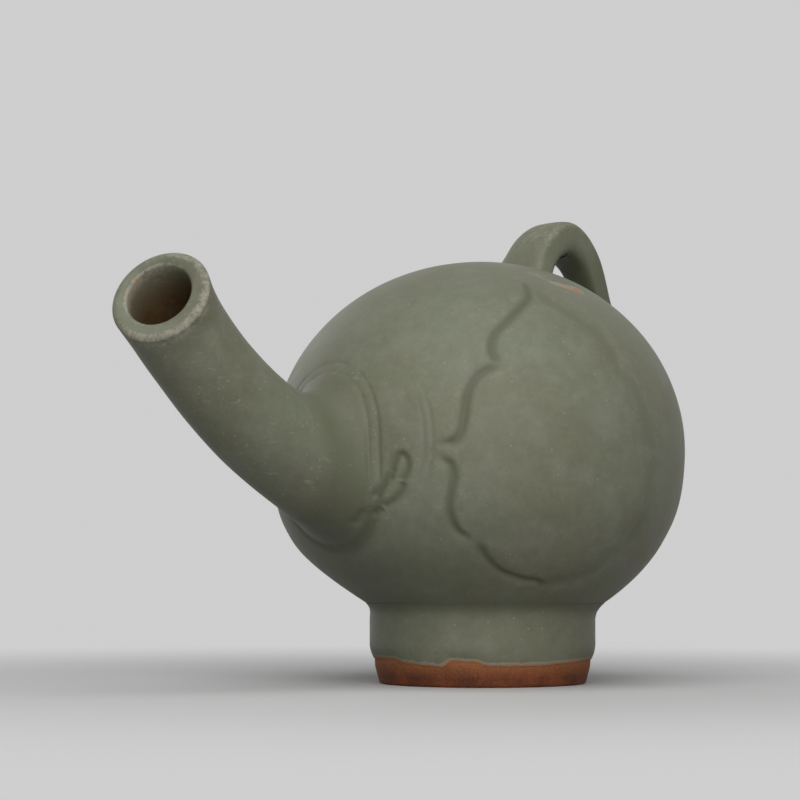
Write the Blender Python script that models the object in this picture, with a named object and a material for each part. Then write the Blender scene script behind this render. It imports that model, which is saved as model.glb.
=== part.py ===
# Celadon ewer: a round stoneware vessel with a tall foot, a curved spout and a strap loop on its shoulder.
# Units are metres and +Z is up. The pot is drawn about the axis of its foot with the spout along -X,
# and one empty then carries it so that the origin lies under the middle of the whole object.

import math

import bmesh
import bpy
from mathutils import Matrix, Vector

# Belly
BELLY_RADIUS = 0.071
BELLY_MIDDLE_Z = 0.081
BELLY_RISE = 0.0665
BELLY_DROP = 0.0655
SPOUT_SIDE_STRETCH = 1.06
WALL = 0.005

# Foot
FOOT_RADIUS = 0.0394
FOOT_TOP_Z = 0.031
GLAZE_EDGE_Z = 0.0082
CLAY_TOP_RADIUS = 0.0377
CLAY_BASE_RADIUS = 0.0363
FOOT_EDGE_ROUND = 0.0009
RECESS_RADIUS = 0.0285
RECESS_TAPER = 0.0015

# Spout: a curve from inside the belly wall to the middle of the lip
SPOUT_ROOT = Vector((-0.058, 0.0, 0.069))
SPOUT_TIP = Vector((-0.1416, -0.0020, 0.1249))
SPOUT_ROOT_RISE = math.radians(9)
SPOUT_TIP_RISE = math.radians(48.5)
SPOUT_TIP_SWAY = math.radians(14)
LIP_RISE = math.radians(27)
LIP_SWAY = math.radians(27)
LIP_TURN_START = 0.70
SPOUT_ROOT_RADIUS = 0.0205
SPOUT_LOWER_RADIUS = 0.0172
SPOUT_LOWER_AT = 0.35
SPOUT_MIDDLE_RADIUS = 0.0156
SPOUT_MIDDLE_AT = 0.70
LIP_NECK_RADIUS = 0.0157
LIP_NECK_AT = 0.92
LIP_RADIUS = 0.0168
LIP_BORE_RADIUS = 0.0110
BORE_RADIUS = 0.0115
BORE_TAPER_AT = 0.80
LIP_CROWN = 0.0016

# Collar round the foot of the spout: it leaves the belly on an oval and bends over to run along the tube
COLLAR_ANGLE = 0.357
COLLAR_TOP_STRETCH = 0.07
COLLAR_BOTTOM_STRETCH = 0.20
COLLAR_CLEAR = 0.0175
COLLAR_PULL = 0.60
COLLAR_SKIN = 0.0010
COLLAR_BURY = 0.002
COLLAR_STEPS = 9
COLLAR_SEARCH = (-0.10, 0.80, 30)

# Strap loop on the shoulder
LOOP_FRONT_ROOT = Vector((0.0190, 0.0, 0.1430))
LOOP_FRONT_SHOULDER = Vector((0.0277, 0.0, 0.1557))
LOOP_CROWN = Vector((0.0380, 0.0, 0.1606))
LOOP_REAR_SHOULDER = Vector((0.0490, 0.0, 0.1530))
LOOP_REAR_LEG = Vector((0.0546, 0.0, 0.1385))
LOOP_REAR_FOOT = Vector((0.0590, 0.0, 0.1210))
LOOP_REAR_ROOT = Vector((0.0612, 0.0, 0.1010))
STRAP_WIDTH = 0.0195
STRAP_OUTER = 0.0046
STRAP_INNER = 0.0066
STRAP_WIDEST = 0.0010
STRAP_OUTER_SQUARENESS = 0.62
STRAP_INNER_SQUARENESS = 0.72
FRONT_PAD_X = 0.0200
REAR_PAD_X = 0.0600
FRONT_PAD_LENGTH = 0.0165
REAR_PAD_LENGTH = 0.0134
PAD_WIDTH = 0.0245
PAD_THICKNESS = 0.0027
PAD_COLUMN_Z = BELLY_MIDDLE_Z + 0.75 * BELLY_RISE

# Joints between luted pieces, and mesh detail
GAP = 0.0003
AROUND = 56
BELLY_STEPS = 12
SPOUT_AROUND = 36
SPOUT_STEPS = 20
BORE_STRIDE = 2
LIP_STEPS = 6
STRAP_AROUND = 20
STRAP_STEPS = 24
PAD_AROUND = 28
SHARP_ANGLE = math.radians(40)
CURVE_STEP = 0.001
LOOP_STEP = 0.01
MERGE = 1e-6

# Lengths of the spout's curve that the two cutters follow: start, end and steps
BORE_CUT = (-0.25, 0.60, 8)
TUBE_SEAT_CUT = (-0.20, 0.90, 18)

UP = Vector((0.0, 0.0, 1.0))
GLAZE = (0.235, 0.245, 0.180, 1.0)
CLAY = (0.230, 0.085, 0.045, 1.0)
GLAZE_ROUGHNESS = 0.35
CLAY_ROUGHNESS = 0.8


def clear_scene():
    for thing in list(bpy.data.objects):
        bpy.data.objects.remove(thing, do_unlink=True)


def make_material(name, colour, roughness):
    material = bpy.data.materials.new(name)
    material.use_nodes = True
    shader = material.node_tree.nodes["Principled BSDF"]
    shader.inputs["Base Color"].default_value = colour
    shader.inputs["Roughness"].default_value = roughness
    shader.inputs["Metallic"].default_value = 0.0
    material.diffuse_color = colour
    return material


def make_object(name, bm, carrier):
    bmesh.ops.recalc_face_normals(bm, faces=bm.faces)
    mesh = bpy.data.meshes.new(name)
    bm.to_mesh(mesh)
    bm.free()
    mesh.shade_smooth()
    mesh.set_sharp_from_angle(angle=SHARP_ANGLE)
    piece = bpy.data.objects.new(name, mesh)
    bpy.context.scene.collection.objects.link(piece)
    piece.parent = carrier
    return piece


def make_cutter(name, bm, carrier):
    cutter = make_object(name, bm, carrier)
    cutter.hide_render = True
    cutter.display_type = "WIRE"
    return cutter


def cut(piece, cutter, operation="DIFFERENCE"):
    step = piece.modifiers.new(operation.lower() + "_" + cutter.name, "BOOLEAN")
    step.operation = operation
    step.object = cutter
    step.solver = "EXACT"


def turn(bm, profile, steps):
    # Turns a profile of (radius, height) points once round the foot's axis
    verts = [bm.verts.new((radius, 0.0, height)) for radius, height in profile]
    edges = [bm.edges.new(pair) for pair in zip(verts, verts[1:])]
    if profile[0][0] > 0:
        edges.append(bm.edges.new((verts[-1], verts[0])))
    bmesh.ops.spin(
        bm, geom=verts + edges, cent=(0, 0, 0), axis=UP,
        angle=math.tau, steps=steps, use_merge=True,
    )
    bmesh.ops.remove_doubles(bm, verts=bm.verts, dist=MERGE)


def stretch_spout_side(bm):
    for vert in bm.verts:
        if vert.co.x < 0:
            vert.co.x *= SPOUT_SIDE_STRETCH


def belly_arc(grow, start, end):
    # Points of the belly's outline from one angle to another, measured up from its widest line
    points = []
    for step in range(BELLY_STEPS + 1):
        angle = start + (end - start) * step / BELLY_STEPS
        height = BELLY_RISE if angle > 0 else BELLY_DROP
        points.append((
            (BELLY_RADIUS + grow) * abs(math.cos(angle)) if abs(angle) < math.pi / 2 else 0.0,
            BELLY_MIDDLE_Z + (height + grow) * math.sin(angle),
        ))
    return points


def belly_solid(grow):
    bm = bmesh.new()
    lower = belly_arc(grow, -math.pi / 2, 0.0)
    upper = belly_arc(grow, 0.0, math.pi / 2)
    turn(bm, lower + upper[1:], AROUND)
    stretch_spout_side(bm)
    return bm


def bowl(side):
    # Half of the belly wall: side is 1 for the upper bowl and -1 for the lower one
    pole = side * math.pi / 2
    outer = belly_arc(0.0, pole, 0.0)
    inner = belly_arc(-WALL, 0.0, pole)
    seam = BELLY_MIDDLE_Z + side * GAP / 2
    outer[-1] = (outer[-1][0], seam)
    inner[0] = (inner[0][0], seam)
    bm = bmesh.new()
    turn(bm, outer + inner, AROUND)
    stretch_spout_side(bm)
    return bm


def foot():
    inner_top = RECESS_RADIUS - RECESS_TAPER
    profile = [
        (inner_top, FOOT_TOP_Z),
        (FOOT_RADIUS, FOOT_TOP_Z),
        (FOOT_RADIUS, GLAZE_EDGE_Z + FOOT_EDGE_ROUND),
        (CLAY_TOP_RADIUS, GLAZE_EDGE_Z),
        (CLAY_BASE_RADIUS, FOOT_EDGE_ROUND),
        (CLAY_BASE_RADIUS - FOOT_EDGE_ROUND, 0.0),
        (RECESS_RADIUS + FOOT_EDGE_ROUND, 0.0),
        (RECESS_RADIUS, FOOT_EDGE_ROUND),
    ]
    bm = bmesh.new()
    turn(bm, profile, AROUND)
    return bm


def direction(rise, sway):
    flat = math.cos(rise)
    return Vector((-flat * math.cos(sway), -flat * math.sin(sway), math.sin(rise)))


def bend(start, leave, arrive, end, t):
    # A point on the smooth curve that leaves its start toward one point and reaches its end from another
    back = 1.0 - t
    return start * back ** 3 + leave * (3 * t * back ** 2) + arrive * (3 * t ** 2 * back) + end * t ** 3


def spout_point(t):
    reach = (SPOUT_TIP - SPOUT_ROOT).length / 3
    leave = SPOUT_ROOT + direction(SPOUT_ROOT_RISE, 0.0) * reach
    arrive = SPOUT_TIP - direction(SPOUT_TIP_RISE, SPOUT_TIP_SWAY) * reach
    return bend(SPOUT_ROOT, leave, arrive, SPOUT_TIP, t)


def spout_normal(t):
    # The tube's cross-sections turn from square to its curve to the slanted cut of the lip
    along = (spout_point(t + CURVE_STEP) - spout_point(t - CURVE_STEP)).normalized()
    turned = min(max((t - LIP_TURN_START) / (1.0 - LIP_TURN_START), 0.0), 1.0)
    turned = turned * turned * (3.0 - 2.0 * turned)
    return along.lerp(direction(LIP_RISE, LIP_SWAY), turned).normalized()


def blend(t, stops):
    # Value at t on straight runs between (t, value) stops
    for (left, low), (right, high) in zip(stops, stops[1:]):
        if t <= right:
            return low + (high - low) * (t - left) / (right - left)
    return stops[-1][1]


def spout_radius(t):
    return blend(t, [
        (0.0, SPOUT_ROOT_RADIUS),
        (SPOUT_LOWER_AT, SPOUT_LOWER_RADIUS),
        (SPOUT_MIDDLE_AT, SPOUT_MIDDLE_RADIUS),
        (LIP_NECK_AT, LIP_NECK_RADIUS),
        (1.0, LIP_RADIUS),
    ])


def ring_frame(centre, normal):
    side = normal.cross(UP).normalized()
    return Matrix.Translation(centre) @ Matrix((side, side.cross(normal), normal)).transposed().to_4x4()


def add_ring(bm, frame, radius, around):
    made = bmesh.ops.create_circle(bm, cap_ends=False, segments=around, radius=radius, matrix=frame)
    return {edge for vert in made["verts"] for edge in vert.link_edges}


def bridge(bm, rings):
    for first, second in zip(rings, rings[1:]):
        bmesh.ops.bridge_loops(bm, edges=list(first | second))


def cap(bm, ring):
    bmesh.ops.contextual_create(bm, geom=list(ring))


def lip_rounds():
    # The frame and radius of each ring over the lip's rounded crown, from outside to inside
    half = (LIP_RADIUS - LIP_BORE_RADIUS) / 2
    normal = spout_normal(1.0)
    rounds = []
    for step in range(LIP_STEPS + 1):
        angle = math.pi * step / LIP_STEPS
        frame = ring_frame(SPOUT_TIP + normal * LIP_CROWN * math.sin(angle), normal)
        rounds.append((frame, LIP_BORE_RADIUS + half * (1.0 + math.cos(angle))))
    return rounds


def lip_reach():
    # How far the lip reaches along -X from the foot's axis
    reach = 0.0
    for frame, radius in lip_rounds():
        for number in range(SPOUT_AROUND):
            angle = math.tau * number / SPOUT_AROUND
            edge = frame @ Vector((math.cos(angle) * radius, math.sin(angle) * radius, 0.0))
            reach = min(reach, edge.x)
    return reach


def tube():
    # Outer wall up to the lip, over its rounded crown and back down the bore
    bm = bmesh.new()
    rings = []
    for step in range(SPOUT_STEPS + 1):
        t = step / SPOUT_STEPS
        frame = ring_frame(spout_point(t), spout_normal(t))
        rings.append(add_ring(bm, frame, spout_radius(t), SPOUT_AROUND))
    for frame, radius in lip_rounds()[1:-1]:
        rings.append(add_ring(bm, frame, radius, SPOUT_AROUND))
    for step in range(SPOUT_STEPS, -1, -BORE_STRIDE):
        t = step / SPOUT_STEPS
        frame = ring_frame(spout_point(t), spout_normal(t))
        radius = blend(t, [(0.0, BORE_RADIUS), (BORE_TAPER_AT, BORE_RADIUS), (1.0, LIP_BORE_RADIUS)])
        rings.append(add_ring(bm, frame, radius, SPOUT_AROUND))
    bridge(bm, rings + rings[:1])
    return bm


def spout_solid(length, radius_at):
    # A plain closed length of the spout, for cutting its neighbours
    start, end, steps = length
    bm = bmesh.new()
    rings = []
    for step in range(steps + 1):
        t = start + (end - start) * step / steps
        frame = ring_frame(spout_point(t), spout_normal(t))
        rings.append(add_ring(bm, frame, radius_at(t), SPOUT_AROUND))
    bridge(bm, rings)
    cap(bm, rings[0])
    cap(bm, rings[-1])
    return bm


def belly_point(aim, grow):
    # Where a direction from the middle of the belly meets its surface
    height = BELLY_RISE if aim.z > 0 else BELLY_DROP
    stretch = SPOUT_SIDE_STRETCH if aim.x < 0 else 1.0
    return Vector((
        aim.x * (BELLY_RADIUS + grow) * stretch,
        aim.y * (BELLY_RADIUS + grow),
        BELLY_MIDDLE_Z + aim.z * (height + grow),
    ))


def belly_aim(point):
    # The direction of a point on the spout's side from the middle of the belly; it is 1 long on the surface
    height = BELLY_RISE if point.z > BELLY_MIDDLE_Z else BELLY_DROP
    return Vector((
        point.x / (BELLY_RADIUS * SPOUT_SIDE_STRETCH),
        point.y / BELLY_RADIUS,
        (point.z - BELLY_MIDDLE_Z) / height,
    ))


def tube_edge(angle, clear, grow):
    # The first point of a line along the tube's wall that stands this far clear of the belly
    spoke = Vector((math.cos(angle), math.sin(angle), 0.0))
    low, high, rounds = COLLAR_SEARCH
    for _ in range(rounds):
        t = (low + high) / 2
        edge = ring_frame(spout_point(t), spout_normal(t)) @ (spoke * (spout_radius(t) + grow))
        if (belly_aim(edge).length - 1.0) * BELLY_RADIUS < clear:
            low = t
        else:
            high = t
    return edge


def collar_aim(bearing):
    # A direction to the collar's oval on the belly, taller than wide because the spout leaves on a slant
    rise = math.sin(bearing)
    stretch = COLLAR_TOP_STRETCH if rise > 0 else COLLAR_BOTTOM_STRETCH
    spread = COLLAR_ANGLE + stretch * rise ** 2
    return Vector((-math.cos(spread), math.sin(spread) * math.cos(bearing), math.sin(spread) * rise))


def collar():
    # Each line of the collar leaves the belly along its surface and bends over to run out along the tube
    bm = bmesh.new()
    lines = []
    for number in range(SPOUT_AROUND):
        angle = math.tau * number / SPOUT_AROUND
        corner = tube_edge(angle, 0.0, GAP + COLLAR_SKIN)
        inner = belly_aim(corner)
        outer = collar_aim(math.atan2(inner.z, inner.y))
        start = belly_point(outer, GAP)
        leave = belly_point(outer.lerp(inner, COLLAR_PULL).normalized(), GAP)
        end = tube_edge(angle, COLLAR_CLEAR, GAP + COLLAR_SKIN)
        arrive = end.lerp(corner, COLLAR_PULL)
        lines.append((belly_point(outer, -COLLAR_BURY), start, leave, arrive, end))
    rings = []
    for step in range(-1, COLLAR_STEPS + 1):
        verts = bmesh.ops.create_circle(bm, segments=SPOUT_AROUND, radius=1.0)["verts"]
        for vert, (buried, *curve) in zip(verts, lines):
            vert.co = buried if step < 0 else bend(*curve, step / COLLAR_STEPS)
        rings.append({edge for vert in verts for edge in vert.link_edges})
    bridge(bm, rings)
    cap(bm, rings[0])
    cap(bm, rings[-1])
    return bm


def loop_point(along):
    # A smooth curve through the loop's own points, from the front root (0) to the rear root (1)
    points = [
        LOOP_FRONT_ROOT, LOOP_FRONT_SHOULDER, LOOP_CROWN,
        LOOP_REAR_SHOULDER, LOOP_REAR_LEG, LOOP_REAR_FOOT, LOOP_REAR_ROOT,
    ]
    points = [2 * points[0] - points[1]] + points + [2 * points[-1] - points[-2]]
    spans = len(points) - 3
    span = min(int(along * spans), spans - 1)
    t = along * spans - span
    before, start, end, after = points[span:span + 4]
    return (
        start * 2 + (end - before) * t + (before * 2 - start * 5 + end * 4 - after) * t ** 2
        + (start * 3 - before - end * 3 + after) * t ** 3
    ) / 2


def strap_section(angle):
    # The strap has a flat outer face and is deeper and rounder on the side toward the finger
    across, out = math.cos(angle), math.sin(angle)
    power = STRAP_OUTER_SQUARENESS if out > 0 else STRAP_INNER_SQUARENESS
    reach = STRAP_OUTER - STRAP_WIDEST if out > 0 else STRAP_INNER + STRAP_WIDEST
    across = math.copysign(abs(across) ** power, across) * STRAP_WIDTH / 2
    return across, STRAP_WIDEST + math.copysign(abs(out) ** power, out) * reach


def strap():
    bm = bmesh.new()
    rings = []
    for step in range(STRAP_STEPS + 1):
        along = step / STRAP_STEPS
        before = loop_point(max(along - LOOP_STEP, 0.0))
        after = loop_point(min(along + LOOP_STEP, 1.0))
        outward = (after - before).normalized().cross(Vector((0.0, 1.0, 0.0)))
        verts = bmesh.ops.create_circle(bm, segments=STRAP_AROUND, radius=1.0)["verts"]
        for number, vert in enumerate(verts):
            across, out = strap_section(math.tau * number / STRAP_AROUND)
            vert.co = loop_point(along) + outward * out
            vert.co.y += across
        rings.append({edge for vert in verts for edge in vert.link_edges})
    bridge(bm, rings)
    cap(bm, rings[0])
    cap(bm, rings[-1])
    return bm


def pad_column(x, length):
    # An upright oval column through the belly wall, later trimmed to a thin pad on the shoulder
    bm = bmesh.new()
    place = Matrix.Translation((x, 0.0, PAD_COLUMN_Z))
    oval = Matrix.Diagonal((length / 2, PAD_WIDTH / 2, 1.0, 1.0))
    bmesh.ops.create_cone(
        bm, cap_ends=True, segments=PAD_AROUND, radius1=1.0, radius2=1.0,
        depth=BELLY_RISE, matrix=place @ oval,
    )
    return bm


clear_scene()
carrier = bpy.data.objects.new("ewer", None)
bpy.context.scene.collection.objects.link(carrier)
carrier.location.x = -(BELLY_RADIUS + lip_reach()) / 2

seat = make_cutter("belly_seat", belly_solid(GAP), carrier)
pad_top = make_cutter("pad_top", belly_solid(GAP + PAD_THICKNESS), carrier)
leg_seat = make_cutter("leg_seat", belly_solid(2 * GAP + PAD_THICKNESS), carrier)
bore = make_cutter("bore", spout_solid(BORE_CUT, lambda t: BORE_RADIUS), carrier)
tube_seat = make_cutter("tube_seat", spout_solid(TUBE_SEAT_CUT, lambda t: spout_radius(t) + GAP), carrier)

foot_ring = make_object("foot_ring", foot(), carrier)
cut(foot_ring, seat)

lower_bowl = make_object("lower_bowl", bowl(-1), carrier)
cut(lower_bowl, bore)
upper_bowl = make_object("upper_bowl", bowl(1), carrier)
cut(upper_bowl, bore)

spout_tube = make_object("spout_tube", tube(), carrier)
cut(spout_tube, seat)
spout_collar = make_object("spout_collar", collar(), carrier)
cut(spout_collar, seat)
cut(spout_collar, tube_seat)

handle_loop = make_object("handle_loop", strap(), carrier)
cut(handle_loop, leg_seat)
handle_front_root = make_object("handle_front_root", pad_column(FRONT_PAD_X, FRONT_PAD_LENGTH), carrier)
cut(handle_front_root, pad_top, "INTERSECT")
cut(handle_front_root, seat)
handle_rear_root = make_object("handle_rear_root", pad_column(REAR_PAD_X, REAR_PAD_LENGTH), carrier)
cut(handle_rear_root, pad_top, "INTERSECT")
cut(handle_rear_root, seat)

glazed = (
    lower_bowl, upper_bowl, spout_tube, spout_collar, handle_loop, handle_front_root, handle_rear_root,
)
for node in glazed:
    node.data.materials.append(make_material(node.name + "_glaze", GLAZE, GLAZE_ROUGHNESS))
foot_ring.data.materials.append(make_material("foot_ring_clay", CLAY, CLAY_ROUGHNESS))
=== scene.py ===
import math

import bmesh
import bpy
import numpy as np
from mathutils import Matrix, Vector, noise


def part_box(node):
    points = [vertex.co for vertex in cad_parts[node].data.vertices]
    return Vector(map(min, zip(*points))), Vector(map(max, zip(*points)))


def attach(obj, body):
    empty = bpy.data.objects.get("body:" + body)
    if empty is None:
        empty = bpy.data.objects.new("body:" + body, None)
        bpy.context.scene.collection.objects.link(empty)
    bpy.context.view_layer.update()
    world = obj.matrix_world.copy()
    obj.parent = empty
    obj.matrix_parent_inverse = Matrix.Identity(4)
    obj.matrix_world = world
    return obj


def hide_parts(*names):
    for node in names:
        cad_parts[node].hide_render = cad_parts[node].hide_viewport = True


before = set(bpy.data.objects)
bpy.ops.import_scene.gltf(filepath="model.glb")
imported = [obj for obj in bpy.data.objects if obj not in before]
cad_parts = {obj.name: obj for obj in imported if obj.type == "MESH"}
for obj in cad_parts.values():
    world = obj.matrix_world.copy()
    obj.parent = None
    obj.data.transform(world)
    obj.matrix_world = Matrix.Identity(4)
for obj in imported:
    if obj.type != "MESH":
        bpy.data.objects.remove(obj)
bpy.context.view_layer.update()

footLow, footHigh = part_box("foot_ring")
footAxis = Vector(((footLow.x + footHigh.x) / 2, 0.0, 0.0))  # pieces are drawn about x = 0, then moved here
up = Vector((0.0, 0.0, 1.0))
sameSpot = 1e-7  # points nearer than this are merged
farOff = 9.0  # more than any distance on the pot
sharpAngle = 50.0  # edges bent by more degrees than this stay sharp
print("frame loaded, foot axis at x =", round(footAxis.x, 4))


# node helpers

def addNode(tree, kind, inputs=None, **settings):
    made = tree.nodes.new(kind)
    for key, value in settings.items():
        setattr(made, key, value)
    for key, value in (inputs or {}).items():
        feed(tree, made.inputs[key], value)
    return made


def feed(tree, socket, value):
    if isinstance(value, bpy.types.NodeSocket):
        tree.links.new(value, socket)
    else:
        socket.default_value = value


def calc(tree, operation, first, second):
    return addNode(tree, "ShaderNodeMath", {0: first, 1: second}, operation=operation).outputs[0]


def plus(tree, first, second):
    return calc(tree, "ADD", first, second)


def times(tree, first, second):
    return calc(tree, "MULTIPLY", first, second)


def spread(tree, value, low, high, toLow=0.0, toHigh=1.0):
    made = addNode(
        tree, "ShaderNodeMapRange",
        {"Value": value, "From Min": low, "From Max": high, "To Min": toLow, "To Max": toHigh},
        interpolation_type="SMOOTHSTEP",
    )
    return made.outputs["Result"]


def tint(tree, amount, first, second, blend="MIX"):
    made = addNode(
        tree, "ShaderNodeMix", {0: amount, 6: first, 7: second}, data_type="RGBA", blend_type=blend)
    return made.outputs[2]


def asGrey(tree, value):
    made = addNode(tree, "ShaderNodeCombineColor", {"Red": value, "Green": value, "Blue": value})
    return made.outputs["Color"]


def grain(tree, where, size, detail=3.0, rough=0.55):
    # soft noise whose features are about this many metres across
    made = addNode(
        tree, "ShaderNodeTexNoise",
        {"Vector": where, "Scale": 1.0 / size, "Detail": detail, "Roughness": rough},
    )
    return made.outputs["Fac"]


def specks(tree, where, spacing, reach, share, core=0.4):
    # round dots in a random share of cells, solid over their core
    cells = addNode(tree, "ShaderNodeTexVoronoi", {"Vector": where, "Scale": 1.0 / spacing})
    pick = addNode(tree, "ShaderNodeSeparateColor", {"Color": cells.outputs["Color"]})
    dot = spread(tree, cells.outputs["Distance"], reach, reach * core)
    return times(tree, dot, calc(tree, "LESS_THAN", pick.outputs["Red"], share))


def readMark(tree, name):
    return addNode(tree, "ShaderNodeAttribute", attribute_name=name).outputs["Fac"]


def addBump(tree, shader, surface, height):
    bump = addNode(tree, "ShaderNodeBump", {
        "Strength": surface["bumpStrength"], "Distance": surface["bumpDepth"], "Height": height})
    feed(tree, shader.inputs["Normal"], bump.outputs["Normal"])


def newMaterial(name):
    material = bpy.data.materials.new(name)
    material.use_nodes = True
    tree = material.node_tree
    return material, tree, tree.nodes["Principled BSDF"]


def newGroup(name, inputs, outputs):
    group = bpy.data.node_groups.new(name, "ShaderNodeTree")
    for label in inputs:
        group.interface.new_socket(label, in_out="INPUT", socket_type="NodeSocketFloat")
    for label, kind in outputs:
        group.interface.new_socket(label, in_out="OUTPUT", socket_type=kind)
    given = group.nodes.new("NodeGroupInput").outputs
    return group, given, group.nodes.new("NodeGroupOutput").inputs


# glaze and clay

glaze = {
    "sage": (0.228, 0.246, 0.170, 1.0),
    "olive": (0.220, 0.219, 0.149, 1.0),
    "grey": (0.262, 0.268, 0.204, 1.0),
    # the dark green serves pooled glaze and painted shade, the pale cream below serves worn glaze and
    # painted highlights
    "pooledShade": (0.105, 0.115, 0.066, 1.0),
    "thin": (0.400, 0.375, 0.300, 1.0),
    "burnt": (0.520, 0.290, 0.145, 1.0),
    "inside": (0.068, 0.033, 0.009, 1.0),
    "pinhole": (0.420, 0.420, 0.340, 1.0),
    "iron": (0.075, 0.055, 0.032, 1.0),
    "pinholes": {"bellyGlaze": 0.10, "spoutGlaze": 0.42, "handleGlaze": 0.16, "footGlaze": 0.12},
    "roughness": 0.50,
    "specular": 0.35,
    "bumpDepth": 0.0005,
    "bumpStrength": 0.22,
    # noises: size in metres, detail and roughness
    "clouds": (0.045, 2.0),
    "drift": (0.016, 3.0),
    "mottle": (0.0045, 4.0, 0.65),
    "fine": (0.0011, 2.0),
    "flecks": (0.0019, 4.0, 0.7),
    "strokes": (0.0052, 3.0, 0.6),
    "strokeSquash": (1.0, 1.0, 3.6),
    # dots: spacing in metres, then reach and share of a cell
    "ironDots": (0.0042, 0.075, 0.20),
    "holeDots": (0.0024, 0.20),
    # the span of a noise or mark that counts, and what it becomes
    "oliveSpan": (0.35, 0.66),
    "greySpan": (0.46, 0.74, 0.0, 0.75),
    "mottleLight": (0.25, 0.75, 0.90, 1.07),
    "fineLight": (0.3, 0.7, -0.03, 0.03),
    "fleckSpan": (0.60, 0.72),
    "strokeSpan": (0.61, 0.74),
    "poolShadeSpan": (0.2, 0.8, 0.75, 1.0),
    "mottleThinAndLit": (0.3, 0.7, 0.45, 1.15),
    "fineThinAndLit": (0.3, 0.7, -0.28, 0.28),
    "thinSpan": (0.08, 0.62),
    "burntSpan": (0.74, 1.10),
    "insideSpan": (0.2, 0.7, 0.85, 1.0),
    "mottleRough": (0.25, 0.75, -0.05, 0.07),
    # strengths of single effects
    "ironTint": 0.55,
    "holeTint": 0.6,
    "fleckTint": 0.7,
    "thinRough": 0.18,
    "holeRough": 0.2,
    "mottleHeight": 0.45,
    "fineHeight": 0.10,
    "driftHeight": 1.4,
    "holeHeight": 0.35,
}


def makeGlazeGroup():
    group, given, result = newGroup(
        "celadonSkin",
        ("PoolAndShade", "ThinAndLit", "Inside", "Pinholes"),
        (("Color", "NodeSocketColor"), ("Roughness", "NodeSocketFloat"), ("Height", "NodeSocketFloat")),
    )
    where = addNode(group, "ShaderNodeTexCoord").outputs["Object"]
    clouds, drift, mottle, fine = (
        grain(group, where, *glaze[name]) for name in ("clouds", "drift", "mottle", "fine"))

    # cloudy green
    colour = tint(group, spread(group, clouds, *glaze["oliveSpan"]), glaze["sage"], glaze["olive"])
    colour = tint(group, spread(group, drift, *glaze["greySpan"]), colour, glaze["grey"])
    light = plus(
        group, spread(group, mottle, *glaze["mottleLight"]), spread(group, fine, *glaze["fineLight"]))
    colour = tint(group, 1.0, colour, asGrey(group, light), "MULTIPLY")

    # iron spots, then pale pinholes, flecks and short scratches that lie level
    iron = specks(group, where, *glaze["ironDots"])
    colour = tint(group, times(group, iron, glaze["ironTint"]), colour, glaze["iron"])
    holes = specks(group, where, *glaze["holeDots"], given["Pinholes"])
    flecks = spread(group, grain(group, where, *glaze["flecks"]), *glaze["fleckSpan"])
    flecks = times(group, flecks, given["Pinholes"])
    level = addNode(group, "ShaderNodeMapping", {"Vector": where, "Scale": glaze["strokeSquash"]})
    strokes = grain(group, level.outputs["Vector"], *glaze["strokes"])
    strokes = times(group, spread(group, strokes, *glaze["strokeSpan"]), given["Pinholes"])
    pale = calc(
        group, "MAXIMUM", times(group, holes, glaze["holeTint"]), times(group, flecks, glaze["fleckTint"]))
    colour = tint(group, calc(group, "MAXIMUM", pale, strokes), colour, glaze["pinhole"])

    # where a piece's marks ask for pooled glaze and painted shade, worn glaze and painted highlights, and
    # brown inside that is partly painted shade
    deep = times(group, given["PoolAndShade"], spread(group, mottle, *glaze["poolShadeSpan"]))
    colour = tint(group, deep, colour, glaze["pooledShade"])
    thinAndLitNoise = plus(
        group, spread(group, mottle, *glaze["mottleThinAndLit"]), spread(group, fine, *glaze["fineThinAndLit"]))
    wornAndLit = times(group, given["ThinAndLit"], thinAndLitNoise)
    colour = tint(group, spread(group, wornAndLit, *glaze["thinSpan"]), colour, glaze["thin"])
    colour = tint(group, spread(group, wornAndLit, *glaze["burntSpan"]), colour, glaze["burnt"])
    brown = times(group, given["Inside"], spread(group, mottle, *glaze["insideSpan"]))
    feed(group, result["Color"], tint(group, brown, colour, glaze["inside"]))

    rough = plus(group, spread(group, mottle, *glaze["mottleRough"]), glaze["roughness"])
    rough = plus(group, rough, times(group, given["ThinAndLit"], glaze["thinRough"]))
    feed(group, result["Roughness"], plus(group, rough, times(group, holes, glaze["holeRough"])))
    height = plus(
        group, times(group, mottle, glaze["mottleHeight"]), times(group, fine, glaze["fineHeight"]))
    height = plus(group, height, times(group, drift, glaze["driftHeight"]))
    dents = times(group, holes, glaze["holeHeight"])
    feed(group, result["Height"], calc(group, "SUBTRACT", height, dents))
    return group


def makeGlaze(name, pinholes):
    material, tree, shader = newMaterial(name)
    skin = addNode(tree, "ShaderNodeGroup", node_tree=glazeGroup)
    for label, mark in (("PoolAndShade", "poolAndShade"), ("ThinAndLit", "thin"), ("Inside", "inside")):
        feed(tree, skin.inputs[label], readMark(tree, mark))
    feed(tree, skin.inputs["Pinholes"], pinholes)
    feed(tree, shader.inputs["Specular IOR Level"], glaze["specular"])
    feed(tree, shader.inputs["Base Color"], skin.outputs["Color"])
    feed(tree, shader.inputs["Roughness"], skin.outputs["Roughness"])
    addBump(tree, shader, glaze, skin.outputs["Height"])
    return material


clay = {
    "brick": (0.250, 0.068, 0.023, 1.0),
    "dark": (0.128, 0.036, 0.014, 1.0),
    "toast": (0.470, 0.180, 0.065, 1.0),
    "grit": (0.380, 0.220, 0.130, 1.0),
    "roughness": 0.82,
    "bumpDepth": 0.0006,
    "bumpStrength": 0.5,
    # as for the glaze: noises, dots, spans and strengths
    "patches": (0.009, 4.0, 0.6),
    "fine": (0.0009, 3.0),
    "gritDots": (0.0016, 0.2, 0.25),
    "darkSpan": (0.35, 0.68),
    "fineLight": (0.25, 0.75, 0.82, 1.15),
    "gritTint": 0.35,
    "gritHeight": 0.5,
}


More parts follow.
